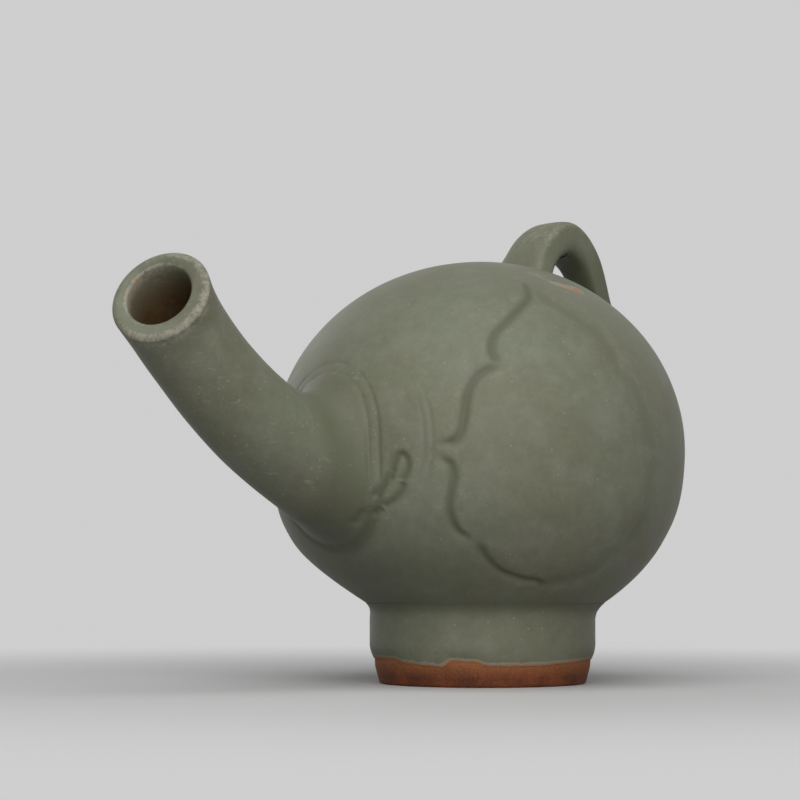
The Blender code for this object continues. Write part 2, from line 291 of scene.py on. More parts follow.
def makeClay(name):
    material, tree, shader = newMaterial(name)
    where = addNode(tree, "ShaderNodeTexCoord").outputs["Object"]
    patches = grain(tree, where, *clay["patches"])
    fine = grain(tree, where, *clay["fine"])
    grit = specks(tree, where, *clay["gritDots"])
    colour = tint(tree, spread(tree, patches, *clay["darkSpan"]), clay["brick"], clay["dark"])
    colour = tint(tree, readMark(tree, "toast"), colour, clay["toast"])
    colour = tint(tree, times(tree, grit, clay["gritTint"]), colour, clay["grit"])
    light = asGrey(tree, spread(tree, fine, *clay["fineLight"]))
    feed(tree, shader.inputs["Base Color"], tint(tree, 1.0, colour, light, "MULTIPLY"))
    feed(tree, shader.inputs["Roughness"], clay["roughness"])
    addBump(tree, shader, clay, plus(tree, fine, times(tree, grit, clay["gritHeight"])))
    return material


glazeGroup = makeGlazeGroup()
glazes = {name: makeGlaze(name, pinholes) for name, pinholes in glaze["pinholes"].items()}
bareClay = makeClay("bareClay")
print("materials made")


# mesh helpers

def finishPiece(name, bm, material, nodes):
    bmesh.ops.translate(bm, verts=bm.verts, vec=footAxis)
    mesh = bpy.data.meshes.new(name)
    bm.to_mesh(mesh)
    bm.free()
    mesh.shade_smooth()
    mesh.set_sharp_from_angle(angle=math.radians(sharpAngle))
    mesh.materials.append(material)
    piece = bpy.data.objects.new(name, mesh)
    bpy.context.scene.collection.objects.link(piece)
    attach(piece, "root")
    if nodes:
        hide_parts(*nodes)
    print("made", name, len(mesh.polygons), "faces")


def addMarks(bm):
    # what the glaze reads: pooled glaze and painted shade, thin glaze and painted highlights, and brown
    # inside that is partly painted shade
    return [bm.verts.layers.float.new(name) for name in ("poolAndShade", "thin", "inside")]


def ease(value, low, high):
    t = min(max((value - low) / (high - low), 0.0), 1.0)
    return t * t * (3.0 - 2.0 * t)


def between(stops, at):
    places, values = zip(*stops)
    return float(np.interp(at, places, values))


def cubic(t, first, second, third, last):
    back = 1.0 - t
    return first * back ** 3 + second * (3 * t * back ** 2) + third * (3 * t ** 2 * back) + last * t ** 3


def smoothLine(points, steps=6):
    # a smooth run through given points
    points = [2 * points[0] - points[1]] + list(points) + [2 * points[-1] - points[-2]]
    line = []
    for before, start, end, after in zip(points, points[1:], points[2:], points[3:]):
        for step in range(steps):
            t = step / steps
            line.append((
                start * 2 + (end - before) * t + (before * 2 - start * 5 + end * 4 - after) * t ** 2
                + (start * 3 - before - end * 3 + after) * t ** 3
            ) / 2)
    return line + [points[-2]]


def nearLine(spots, line):
    # distance from each spot to a line, how far along it the nearest point is, and the line's length
    best = np.full(len(spots), farOff)
    along = np.zeros(len(spots))
    done = 0.0
    for start, end in zip(line, line[1:]):
        span = end - start
        length = np.linalg.norm(span)
        part = np.clip((spots - start) @ span / length ** 2, 0.0, 1.0)
        gap = np.linalg.norm(spots - start - part[:, None] * span, axis=1)
        closer = gap < best
        best[closer] = gap[closer]
        along[closer] = done + part[closer] * length
        done += length
    return best, along, done


def loft(bm, rows, closed=False):
    # bridges rows of points, each made from a circle whose points are moved into place
    loops = []
    for points in rows:
        verts = bmesh.ops.create_circle(bm, segments=len(points), radius=1.0)["verts"]
        for vert, point in zip(verts, points):
            vert.co = point
        loops.append(list({edge for vert in verts for edge in vert.link_edges}))
    pairs = list(zip(loops, loops[1:])) + ([(loops[-1], loops[0])] if closed else [])
    for first, second in pairs:
        bmesh.ops.bridge_loops(bm, edges=first + second)
    bmesh.ops.recalc_face_normals(bm, faces=bm.faces)


# belly: one thrown wall with carved panels, incised rings and a scar where the glaze ran thin

belly = {
    "radius": 0.07095,
    "middle": 0.081,
    "rise": 0.0665,
    "drop": 0.0655,
    "spoutStretch": 1.06,
    "wall": 0.005,
    "around": 320,
    # rows by their angle from the spout side in radians, fine near the rings
    "rowStep": 0.0205,
    "fineStep": 0.0055,
    "seamStep": 0.0008,
    "fineReach": 0.020,
    "coarseReach": 0.050,
    "innerRows": 34,
    # slow waves left by the hand, and how far from the spout they set in
    "unevenness": 0.00022,
    "waves": (2.3, 5.1),
    "waveShares": (0.5, 0.25),
    "waveStart": 0.2,
    # sag: how much fuller the lower half is, and how its bottom leans, in metres
    "fullness": 0.0016,
    "leastFlat": 0.3,
    "leanLeft": 0.0006,
    "leanRight": 0.0018,
    "leanTurn": -44.0,
    "stretchFade": 0.7,
    # where these set in and end, from 0 at the widest line to 1 at the bottom
    "fullStart": (0.05, 0.40),
    "fullEnd": (0.50, 0.80),
    "leanLeftSpan": (0.05, 0.40),
    "leanRightSpan": (0.45, 0.85),
    "stretchSpan": (0.50, 0.85),
}
rings = {
    "seam": 0.357,
    "topStretch": 0.07,
    "bottomStretch": 0.20,
    "stretchEnd": 1.00,
    "width": 0.0008,
    # angle from the spout side, depth, and the rises over which the line fades out above and below
    "lines": (
        (0.357, 0.00025, 0.55, 1.45, 0.40, 0.80), (0.573, 0.00013, 0.20, 0.60, 0.15, 0.45),
        (0.612, 0.00016, 0.20, 0.60, 0.15, 0.50)),
    # the same on the spout's flare, by its distance from the seam
    "inner": (0.0037, 0.00034, 0.55, 1.45, 0.35, 0.75),
    # the tool skipped where the lines run over the top
    "skips": 46.0,
    "skipDepth": 0.65,
    "skipSpan": (0.35, 0.75),
    "skipPhases": (20.0, 2.0e4),
    # painted shade under the spout, where it meets the belly
    "crease": 0.85,
    "creaseSpan": (0.35, 0.75),
    "creaseReach": 0.06,
}
panels = {
    "axes": (70.0, 180.0),
    "depth": 0.00090,
    "width": 0.00150,
    "farDepth": 0.40,
    "farWidth": 2.2,
    "taper": 0.004,
    "endDepth": 0.25,
    "refineReach": 0.0030,
    # pooled glaze and painted shade in the cuts
    "poolAndShade": 0.8,
    # a painted highlight beside each cut, in widths
    "shoulderOut": 2.2,
    "shoulderHighlight": 0.20,
    # half outlines in degrees: turn from the panel's middle, tilt up from the widest line
    "upperLobe": (
        (0, 58), (1.5, 53), (3.5, 48), (8, 43.5), (14, 37.5), (18, 33), (19.4, 28.6), (18.9, 25.3),
        (17, 22.6)),
    "middleLobe": (
        (17, 22.3), (20, 21.3), (22.6, 19.6), (24.8, 16.6), (26, 13.5), (26.8, 8), (27.6, 3),
        (29.5, 0), (32.6, -0.8)),
    "lowerLobe": (
        (32.6, -4.8), (30.4, -6.8), (29.7, -10.4), (30.2, -15.5), (30.6, -20.3), (29.4, -25),
        (27.6, -27.4), (25.2, -29)),
    "bottomLobe": (
        (23, -30.2), (21.6, -34), (19.4, -37.6), (16, -40.6), (8.6, -43.2), (2.5, -44.4), (0, -47.5)),
}
scroll = {
    "depth": 0.00082,
    "width": 0.00135,
    "taper": 0.0022,
    "endDepth": 0.25,
    # angle out from the spout's middle in radians, turn round it in degrees
    "bud": (
        (0.452, -152), (0.440, -159), (0.438, -165), (0.450, -170), (0.472, -172), (0.496, -169),
        (0.506, -164), (0.504, -159), (0.492, -155)),
    "leafInner": ((0.452, -164), (0.437, -157.5), (0.430, -151), (0.428, -144), (0.429, -137)),
    "leafOuter": ((0.503, -157), (0.516, -151), (0.512, -145), (0.496, -140), (0.478, -135)),
    "leafTip": ((0.431, -129), (0.443, -124), (0.451, -119), (0.453, -113)),
    "leafMark": ((0.489, -137), (0.483, -132), (0.476, -127)),
}
scar = {
    "depth": 0.0006,
    "width": 0.0021,
    "sharpness": 4,
    # share of the width at its start and gained along it; the same for how thin the glaze is
    "widthShares": (0.6, 0.6),
    "thinShares": (0.42, 1.10),
    # slope and delay of the thinning along it
    "thinRun": (2.0, 0.7),
    # turn from the spout and tilt up from the widest line, in degrees
    "line": ((80.5, 66.4), (84, 62.4), (88, 58.5), (93, 56.1), (100, 54.9)),
}
leanAngle = math.radians(belly["leanTurn"])
leanWay = Vector((math.cos(leanAngle), math.sin(leanAngle), 0.0))
innerSize = 0.5  # the inner wall is told apart by this length until it is placed
sizeSplit = 0.75


def onBelly(aim, grow):
    # the wall's point in a direction from the belly's middle, moved out by grow
    low = max(-aim[2], 0.0)
    tall = belly["rise"] if aim[2] > 0 else belly["drop"]
    stretch = belly["spoutStretch"] if aim[0] < 0 else 1.0
    stretch = 1.0 + (stretch - 1.0) * (1.0 - belly["stretchFade"] * ease(low, *belly["stretchSpan"]))
    full = belly["fullness"] * ease(low, *belly["fullStart"]) * (1.0 - ease(low, *belly["fullEnd"]))
    size = belly["radius"] + grow + full / max(math.hypot(aim[0], aim[1]), belly["leastFlat"])
    lean = belly["leanRight"] * ease(low, *belly["leanRightSpan"])
    lean -= belly["leanLeft"] * ease(low, *belly["leanLeftSpan"])
    spot = Vector((aim[0] * size * stretch, aim[1] * size, belly["middle"] + aim[2] * (tall + grow)))
    return spot + leanWay * lean


def aimRound(angle, turn):
    # direction at an angle from the spout side, turned round it from +Y
    flat = math.sin(angle)
    return Vector((-math.cos(angle), flat * math.cos(turn), flat * math.sin(turn)))


def aimUp(turn, tilt):
    # direction turned about the foot's axis from the spout side toward -Y, then tilted up
    flat = math.cos(tilt)
    return Vector((-flat * math.cos(turn), -flat * math.sin(turn), math.sin(tilt)))


def fromSpout(aim):
    # a direction's angle from the spout side and its turn round it
    return math.acos(min(max(-aim.x, -1.0), 1.0)), math.atan2(aim.z, aim.y)


def ringStretch(angle, rise):
    # the seam is taller than it is wide, because the spout meets the belly on a slant
    fade = 1.0 - ease(angle, rings["seam"], rings["stretchEnd"])
    return angle + fade * rise ** 2 * (rings["topStretch"] if rise > 0 else rings["bottomStretch"])


def seamAim(turn):
    return aimRound(ringStretch(rings["seam"], math.sin(turn)), turn)


def ringDepth(away, rise, deep, topStart, topEnd, lowStart, lowEnd):
    shown = (1.0 - ease(rise, topStart, topEnd)) * (1.0 - ease(-rise, lowStart, lowEnd))
    startPhase, depthPhase = rings["skipPhases"]
    skip = 0.5 + 0.5 * math.sin(rings["skips"] * rise + topStart * startPhase + deep * depthPhase)
    shown *= 1.0 - rings["skipDepth"] * skip * ease(rise, *rings["skipSpan"])
    return deep * shown * math.exp(-(away / rings["width"]) ** 2)


def creaseShade(rise):
    # painted shade under the spout
    return rings["crease"] * ease(-rise, *rings["creaseSpan"])


def cutShade(deep):
    # pooled glaze and painted shade in the cuts, darker the deeper the cut
    return panels["poolAndShade"] * min(deep / panels["depth"], 1.0)


def rowAngles():
    angles = [rings["seam"]]
    while angles[-1] < math.pi:
        near = min(abs(angles[-1] - line[0]) for line in rings["lines"])
        coarse = ease(near, belly["fineReach"], belly["coarseReach"])
        step = belly["fineStep"] + (belly["rowStep"] - belly["fineStep"]) * coarse
        angles.append(angles[-1] + step)
    return angles[:1] + [angles[0] + belly["seamStep"]] + angles[1:-1] + [math.pi]


def foldPanels(aims):
    # mirrors every direction into one half panel, and tells which lie past a panel's middle
    turn = np.degrees(np.abs(np.arctan2(-aims[:, 1], -aims[:, 0])))
    offsets = np.array([turn - axis for axis in panels["axes"]])
    offset = np.take_along_axis(offsets, np.argmin(np.abs(offsets), axis=0)[None], axis=0)[0]
    flat = np.sqrt(np.clip(1.0 - aims[:, 2] ** 2, 0.0, 1.0))
    half = np.radians(np.abs(offset))
    return np.stack([-flat * np.cos(half), -flat * np.sin(half), aims[:, 2]], axis=1), offset > 0


def upLine(spots):
    aims = [aimUp(math.radians(turn), math.radians(tilt)) for turn, tilt in spots]
    return [np.array(spot) for spot in smoothLine(aims)]


def roundLine(spots):
    aims = [aimRound(angle, math.radians(turn)) for angle, turn in spots]
    return [np.array(spot) for spot in smoothLine(aims)]


def groove(gap, along, length, shape, wide=1.0):
    size = belly["radius"]
    ends = np.minimum(along, length - along) * size / shape["taper"]
    deep = shape["depth"] * np.exp(-(gap * size / shape["width"] / wide) ** 2)
    return deep * np.clip(shape["endDepth"] + ends, 0.0, 1.0)


def carving(aims):
    # depth of the deepest cut and distance to the nearest one, in metres
    depth = np.zeros(len(aims))
    nearest = np.full(len(aims), farOff)
    folded, far = foldPanels(aims)
    strength = np.where(far, panels["farDepth"], 1.0)
    wide = np.where(far, panels["farWidth"], 1.0)
    for name in ("upperLobe", "middleLobe", "lowerLobe", "bottomLobe"):
        gap, along, length = nearLine(folded, upLine(panels[name]))
        depth = np.maximum(depth, strength * groove(gap, along, length, panels, wide))
        nearest = np.minimum(nearest, gap)
    nearSide = aims.copy()
    nearSide[:, 1] = -np.abs(nearSide[:, 1])
    for name in ("bud", "leafInner", "leafOuter", "leafTip", "leafMark"):
        gap, along, length = nearLine(nearSide, roundLine(scroll[name]))
        depth = np.maximum(depth, groove(gap, along, length, scroll))
        nearest = np.minimum(nearest, gap)
    return depth, nearest * belly["radius"]


def scarring(aims):
    # shares of the scar's depth, and how thin the glaze is on it
    gap, along, length = nearLine(aims, upLine(scar["line"]))
    share = along / length
    narrow, widen = scar["widthShares"]
    across = gap * belly["radius"] / (scar["width"] * (narrow + widen * share))
    mark = np.exp(-across ** scar["sharpness"])
    thin, thinner = scar["thinShares"]
    slope, delay = scar["thinRun"]
    return mark, mark * (thin + thinner * np.clip(share * slope - delay, 0.0, 1.0))


def makeBelly():
    bm = bmesh.new()
    first, rows = rings["seam"], belly["innerRows"]
    stops = [first + (math.pi - first) * row / rows for row in range(rows + 1)]
    outer = [aimRound(angle, 0.0) for angle in rowAngles()]
    inner = [aimRound(angle, 0.0) * innerSize for angle in stops]
    verts = [bm.verts.new(spot) for spot in outer[::-1] + inner]
    for vert in (verts[0], verts[-1]):
        vert.co.y = 0.0  # both poles lie on the axis
    edges = [bm.edges.new(pair) for pair in zip(verts, verts[1:])]
    bmesh.ops.spin(
        bm, geom=verts + edges, cent=(0, 0, 0), axis=(1, 0, 0), angle=math.tau,
        steps=belly["around"], use_merge=True,
    )
    bmesh.ops.remove_doubles(bm, verts=bm.verts, dist=sameSpot)
    bmesh.ops.recalc_face_normals(bm, faces=bm.faces)
    for vert in bm.verts:
        size = 1.0 if vert.co.length > sizeSplit else innerSize
        angle, turn = fromSpout(vert.co / size)
        vert.co = aimRound(ringStretch(angle, math.sin(turn)), turn) * size

    # finer faces where something is cut
    aims = np.array([vert.co for vert in bm.verts])
    shown = np.linalg.norm(aims, axis=1) > sizeSplit
    nearest = np.where(shown, carving(aims)[1], farOff)
    bm.verts.index_update()
    cut = [
        edge for edge in bm.edges
        if max(nearest[vert.index] for vert in edge.verts) < panels["refineReach"]]
    bmesh.ops.subdivide_edges(bm, edges=cut, cuts=1, use_grid_fill=True)

    poolAndShade, thin, _ = addMarks(bm)
    outside = [vert for vert in bm.verts if vert.co.length > sizeSplit]
    for vert in bm.verts:
        if vert.co.length < sizeSplit:
            vert.co = onBelly(vert.co.normalized(), -belly["wall"])
    aims = np.array([vert.co.normalized() for vert in outside])
    depth, nearest = carving(aims)
    mark, burnt = scarring(aims)
    slowShare, quickShare = belly["waveShares"]
    for row, vert in enumerate(outside):
        aim = Vector(aims[row])
        angle, turn = fromSpout(aim)
        rise = math.sin(turn)
        pastSeam = angle - ringStretch(rings["seam"], rise)
        ring = 0.0
        for line, *shape in rings["lines"]:
            place = ringStretch(line, rise) if line == rings["seam"] else line
            ring = max(ring, ringDepth((angle - place) * belly["radius"], rise, *shape))
        slow, quick = (noise.noise(aim * wave) for wave in belly["waves"])
        hand = belly["unevenness"] * (0.5 + slowShare * slow + quickShare * quick)
        hand *= ease(pastSeam, 0.0, belly["waveStart"])
        cutDepth = max(depth[row], ring)
        vert.co = onBelly(aim, -cutDepth - scar["depth"] * mark[row] - max(hand, 0.0))
        # painted shade under the spout
        crease = creaseShade(rise) * (1.0 - ease(pastSeam, 0.0, rings["creaseReach"]))
        vert[poolAndShade] = max(cutShade(cutDepth), crease)
        # a painted highlight beside each cut
        beside = nearest[row] / panels["width"] - panels["shoulderOut"]
        vert[thin] = max(burnt[row], panels["shoulderHighlight"] * math.exp(-beside ** 2))
    finishPiece("bellyWall", bm, glazes["bellyGlaze"], ("upper_bowl", "lower_bowl"))


makeBelly()


# spout: a thick tube that flares out of the belly, with a hand-cut lip

spout = {
    "root": Vector((-0.058, 0.0, 0.069)),
    "tip": Vector((-0.1416, -0.0020, 0.1249)),
    "rootRise": 9.0,
    "tipRise": 48.5,
    "tipSway": 14.0,
    "lipRise": 27.0,
    "lipSway": 27.0,
    "lipTurnStart": 0.70,
    "tangentStep": 0.001,
    "aheadStep": 0.02,
    # share of the way along the tube, and its radius there
    "radii": ((0.0, 0.0205), (0.35, 0.0172), (0.7, 0.0156), (0.92, 0.0157), (1.0, 0.0168)),
    "radiusBlend": 0.05,
    "around": 320,
    # flare: where it ends off the belly, how far its curve is pulled, and the shade painted on it
    "flareClear": 0.0175,
    "flarePull": 0.60,
    "flareRows": 44,
    "seamStep": 0.004,
    "carveReach": 0.012,
    "flareShade": 0.64,
    "shadeStart": (0.0, 0.35),
    "shadeEnd": (0.70, 1.0),
    "creaseFade": (0.10, 0.45),
    # search for where the tube meets the belly
    "meetSpan": (-0.10, 0.80),
    "meetRounds": 24,
    "spokeSpan": (-0.6, 1.6),
    "spokeCount": 181,
    # slow unevenness left by the hand, and the shares of the flare and tube where it comes and goes
    "unevenness": 0.00030,
    "waveSize": 0.016,
    "waveGain": 0.6,
    "flareWave": (0.15, 1.0),
    "tubeWaveEnd": (0.92, 1.0),
    "tubeRows": 56,
    # radius and lift of the lip's section in millimetres, from its outer crest in to the bore
    "lip": (
        (16.62, 0.42), (16.2, 0.88), (15.6, 1.22), (14.8, 1.36), (13.9, 1.22), (13.0, 0.96),
        (12.1, 0.62), (11.4, 0.25), (10.9, -0.3)),
    "lipUnit": 0.001,
    "lipSteps": 3,
    # millimetres of radius over which the pale crest (worn glaze and a painted highlight), worn edge, the
    # hole's shift and the brown set in
    "crestSpan": (13.4, 14.9),
    "edgeSpan": (11.5, 12.7),
    "shiftSpan": (11.0, 15.0),
    "lipBrownSpan": (10.9, 11.3),
    "lipBrown": 0.42,
    "crestThinAndLit": 0.8,
    "crestStart": (0.93, 1.0),
    # turn round the lip in degrees, from the far side up, and how pale its crest and inner edge are: worn
    # glaze, with a painted highlight on the crest
    "paleCrest": (
        (0, 0.15), (60, 0.12), (84, 0.40), (112, 0.54), (150, 0.54), (200, 0.50), (245, 0.48),
        (280, 0.45), (320, 0.30), (360, 0.15)),
    "paleEdge": (
        (0, 0.92), (60, 0.88), (100, 0.50), (140, 0.15), (260, 0.10), (310, 0.45), (360, 0.92)),
    # bore: it starts off the middle, runs down inside the tube and opens into the belly; its brown darkens
    # deeper in, partly painted shade
    "lipBore": 0.0107,
    "boreRadius": 0.0115,
    "holeShift": 0.0016,
    "holeTurn": 45.0,
    "boreEnd": 0.16,
    "boreRows": 24,
    "boreSwell": (0.0, 0.2),
    "boreStraighten": (0.0, 0.4),
    "boreBrown": 0.50,
    "boreDarken": (0.0, 0.14),
    "innerShares": (0.12, 0.55, 1.0),
}


def spoutDirection(rise, sway):
    flat = math.cos(math.radians(rise))
    sway = math.radians(sway)
    return Vector((-flat * math.cos(sway), -flat * math.sin(sway), math.sin(math.radians(rise))))


def spoutPoint(t):
    root, tip = spout["root"], spout["tip"]
    reach = (tip - root).length / 3
    start = root + spoutDirection(spout["rootRise"], 0.0) * reach
    finish = tip - spoutDirection(spout["tipRise"], spout["tipSway"]) * reach
    return cubic(t, root, start, finish, tip)


def spoutNormal(t):
    # along the tube, turning toward the lip's own direction
    step = spout["tangentStep"]
    along = (spoutPoint(t + step) - spoutPoint(t - step)).normalized()
    lip = spoutDirection(spout["lipRise"], spout["lipSway"])
    return along.lerp(lip, ease(t, spout["lipTurnStart"], 1.0)).normalized()


def spoutRadius(t):
    # straight runs between the stops, softened where they meet
    at, size = zip(*spout["radii"])
    spots = [t + spout["radiusBlend"] * step for step in (-1.0, -0.5, 0.0, 0.5, 1.0)]
    return float(np.mean(np.interp(spots, at, size)))


def ringPoint(t, turn, radius, lift=0.0):
    # point on the tube's cross-section; turn starts at +Y and goes up
    normal = spoutNormal(t)
    side = normal.cross(up).normalized()
    outward = side * math.cos(turn) + side.cross(normal) * math.sin(turn)
    return spoutPoint(t) + outward * radius + normal * lift


def wallPoint(t, spoke):
    return ringPoint(t, spoke, spoutRadius(t))


def clearOfBelly(point):
    # how far a point stands off the belly, and its direction from the belly's middle
    size, middle = belly["radius"], belly["middle"]
    tall = belly["rise"] if point.z > middle else belly["drop"]
    aim = Vector((point.x / size / belly["spoutStretch"], point.y / size, (point.z - middle) / tall))
    return (aim.length - 1.0) * size, aim.normalized()


def whereClear(spoke, clear):
    # how far along the tube one line of its wall first stands this far from the belly
    low, high = spout["meetSpan"]
    for _ in range(spout["meetRounds"]):
        middle = (low + high) / 2
        if clearOfBelly(wallPoint(middle, spoke))[0] < clear:
            low = middle
        else:
            high = middle
    return high


def spokesFor(turns):
    # lines of the tube that meet the belly at these turns round the spout side
    low, high = spout["spokeSpan"]
    spokes = np.linspace(low * math.pi, high * math.pi, spout["spokeCount"])
    meets = []
    for spoke in spokes:
        aim = clearOfBelly(wallPoint(whereClear(spoke, 0.0), spoke))[1]
        meets.append(math.atan2(aim.z, aim.y))
    meets = np.unwrap(meets)
    meets += math.tau * round((spokes.mean() - meets.mean()) / math.tau)
    wrapped = [turn if turn < 1.5 * math.pi else turn - math.tau for turn in turns]
    return [float(spoke) for spoke in np.interp(wrapped, meets, spokes)]


def handWave(point):
    # between 0 and 1
    return min(max(0.5 + spout["waveGain"] * noise.noise(point / spout["waveSize"]), 0.0), 1.0)


def roundLip(stops, turn):
    return between(stops, math.degrees(turn) % 360.0)


def makeFlare(turns, spokes):
    # the wall leaves the belly along its surface and bends over to run out along the tube
    curves, ends = [], []
    for turn, spoke in zip(turns, spokes):
        end = whereClear(spoke, spout["flareClear"])
        corner = wallPoint(whereClear(spoke, 0.0), spoke)
        finish = wallPoint(end, spoke)
        ahead = (wallPoint(end + spout["aheadStep"], spoke) - finish).normalized()
        arrive = finish - ahead * ((finish - corner).length * spout["flarePull"])
        outer = seamAim(turn)
        leave = outer.lerp(clearOfBelly(corner)[1], spout["flarePull"]).normalized()
        curves.append([onBelly(outer, 0.0), onBelly(leave, 0.0), arrive, finish])
        ends.append(end)
    curves = np.array(curves)
    rows = spout["flareRows"]
    shares = [0.0, spout["seamStep"]] + [row / rows for row in range(1, rows)]
    t = np.array(shares)[:, None, None]
    spots = cubic(t, curves[:, 0], curves[:, 1], curves[:, 2], curves[:, 3])
    across = np.roll(spots, -1, axis=1) - np.roll(spots, 1, axis=1)
    normals = np.cross(np.gradient(spots, axis=0), across)
    normals /= np.linalg.norm(normals, axis=2)[:, :, None]
    steps = np.linalg.norm(np.diff(spots, axis=0), axis=2)
    length = np.concatenate([np.zeros((1, len(turns))), np.cumsum(steps, axis=0)])

    # cuts and rings run on across the seam
    aims = np.array([clearOfBelly(Vector(spot))[1] for spot in spots.reshape(-1, 3)])
    aims = aims.reshape(spots.shape)
    aims += np.array([seamAim(turn) for turn in turns]) - aims[0]
    cut = carving(aims.reshape(-1, 3))[0].reshape(length.shape)
    cut *= np.exp(-(length / spout["carveReach"]) ** 2)
    place, *shape = rings["inner"]
    for row in range(len(spots)):
        for column, turn in enumerate(turns):
            away, rise = length[row, column], math.sin(turn)
            seam = ringDepth(away, rise, *rings["lines"][0][1:])
            inner = ringDepth(away - place, rise, *shape)
            cut[row, column] = max(cut[row, column], seam, inner)
    return spots, normals, cut, ends


def makeSpout():
    bm = bmesh.new()
    turns = [math.tau * number / spout["around"] for number in range(spout["around"])]
    spokes = spokesFor(turns)
    plain = [0.0] * len(turns)
    rows, marks = [], []

    def addRow(points, poolAndShade=plain, thin=plain, inside=0.0):
        rows.append(points)
        marks.append((poolAndShade, thin, [inside] * len(turns)))

    # inner wall of the belly round the bore, brown that is partly painted shade
    boreRing = [ringPoint(spout["boreEnd"], spoke, spout["boreRadius"]) for spoke in spokes]
    boreAims = [clearOfBelly(point)[1] for point in boreRing]
    for share in spout["innerShares"]:
        addRow([
            onBelly(near.lerp(seamAim(turn), share).normalized(), -belly["wall"])
            for near, turn in zip(boreAims, turns)], inside=1.0)

    spots, normals, cut, ends = makeFlare(turns, spokes)
    for row in range(len(spots)):
        share = row / len(spots)
        hand = spout["unevenness"] * ease(share, *spout["flareWave"])
        # painted shade on the flare, strongest in its middle rows
        shade = spout["flareShade"] * ease(share, *spout["shadeStart"])
        shade *= 1.0 - ease(share, *spout["shadeEnd"])
        creaseLeft = 1.0 - ease(share, *spout["creaseFade"])
        points, poolAndShades = [], []
        for turn, spot, normal, deep in zip(turns, spots[row], normals[row], cut[row]):
            spot = Vector(spot)
            points.append(spot - Vector(normal) * (deep + hand * handWave(spot)))
            poolAndShades.append(max(shade, creaseShade(math.sin(turn)) * creaseLeft, cutShade(deep)))
        addRow(points, poolAndShade=poolAndShades)

    # the pale crest is worn glaze with a painted highlight
    crests = [roundLip(spout["paleCrest"], spoke) for spoke in spokes]
    edges = [roundLip(spout["paleEdge"], spoke) for spoke in spokes]
    for row in range(spout["tubeRows"] + 1):
        share = row / spout["tubeRows"]
        hand = spout["unevenness"] * (1.0 - ease(share, *spout["tubeWaveEnd"]))
        crest = spout["crestThinAndLit"] * ease(share, *spout["crestStart"])
        points = []
        for spoke, end in zip(spokes, ends):
            t = end + (1.0 - end) * share
            radius = spoutRadius(t)
            points.append(ringPoint(t, spoke, radius - hand * handWave(ringPoint(t, spoke, radius))))
        addRow(points, thin=[crest * pale for pale in crests])

    shift = ringPoint(1.0, math.radians(spout["holeTurn"]), spout["holeShift"]) - spoutPoint(1.0)
    unit = spout["lipUnit"]
    for place in smoothLine([Vector(spot) for spot in spout["lip"]], spout["lipSteps"]):
        crest = ease(place.x, *spout["crestSpan"])
        edge = 1.0 - ease(place.x, *spout["edgeSpan"])
        moved = shift * (1.0 - ease(place.x, *spout["shiftSpan"]))
        addRow(
            [ringPoint(1.0, spoke, place.x * unit, place.y * unit) + moved for spoke in spokes],
            thin=[max(crest * outer, edge * inner) for outer, inner in zip(crests, edges)],
            inside=spout["lipBrown"] * (1.0 - ease(place.x, *spout["lipBrownSpan"])))

    for row in range(1, spout["boreRows"] + 1):
        share = row / spout["boreRows"]
        t = 1.0 + (spout["boreEnd"] - 1.0) * share
        swell = (spout["boreRadius"] - spout["lipBore"]) * ease(share, *spout["boreSwell"])
        moved = shift * (1.0 - ease(share, *spout["boreStraighten"]))
        # the brown darkens deeper into the bore: painted shade
        brown = spout["boreBrown"] + (1.0 - spout["boreBrown"]) * ease(share, *spout["boreDarken"])
        addRow([ringPoint(t, spoke, spout["lipBore"] + swell) + moved for spoke in spokes], inside=brown)

    loft(bm, rows, closed=True)
    layers = addMarks(bm)
    for number, vert in enumerate(bm.verts):
        row, column = divmod(number, spout["around"])
        for layer, values in zip(layers, marks[row]):
            vert[layer] = values[column]
    finishPiece("spoutTube", bm, glazes["spoutGlaze"], ("spout_tube", "spout_collar"))


makeSpout()


# strap loop on the shoulder, its ends smeared out on to the belly

strap = {
    # x and z of its line, from the front root over the crown to the rear root
    "points": (
        (0.0190, 0.1430), (0.0277, 0.1557), (0.0380, 0.1606), (0.0490, 0.1530), (0.0557, 0.1385),
        (0.0606, 0.1210), (0.0614, 0.1010)),
    # share of the way along the loop, its width there, and its depth on the finger's side
    "width": (
        (0.0, 0.0196), (0.17, 0.0196), (0.33, 0.0186), (0.50, 0.0156), (0.67, 0.0138), (1.0, 0.0142)),
    "inner": (
        (0.0, 0.0060), (0.17, 0.0070), (0.33, 0.0090), (0.50, 0.0062), (0.67, 0.0036), (1.0, 0.0036)),
    "outer": 0.00450,
    "widest": 0.0010,
    "outerSquareness": 0.64,
    "innerSquareness": 0.52,
    "smear": 0.24,
    "smearLength": 0.16,
    "around": 56,
    "steps": 14,
    # painted highlight on the crown: heights, and how far round it reaches
    "crownHighlight": 0.30,
    "crownSpan": (0.145, 0.160),
    "crownSide": (-0.2, 0.4),
    # painted shade on the rear leg: x and z
    "rearShade": 0.55,
    "rearSpan": (0.040, 0.054),
    "rearTop": (0.148, 0.162),
    # painted shade on the finger's side: how far round, and x
    "innerShade": 0.95,
    "innerSide": (0.0, 0.85),
    "innerSpan": (0.027, 0.040),
}


def strapSection(angle, inner):
    # a flat outer face, deeper and rounder toward the finger
    across, out = math.cos(angle), math.sin(angle)
    power = strap["outerSquareness"] if out > 0.0 else strap["innerSquareness"]
    reach = strap["outer"] - strap["widest"] if out > 0.0 else inner + strap["widest"]
    across = math.copysign(abs(across) ** power, across)
    return across, strap["widest"] + math.copysign(abs(out) ** power, out) * reach


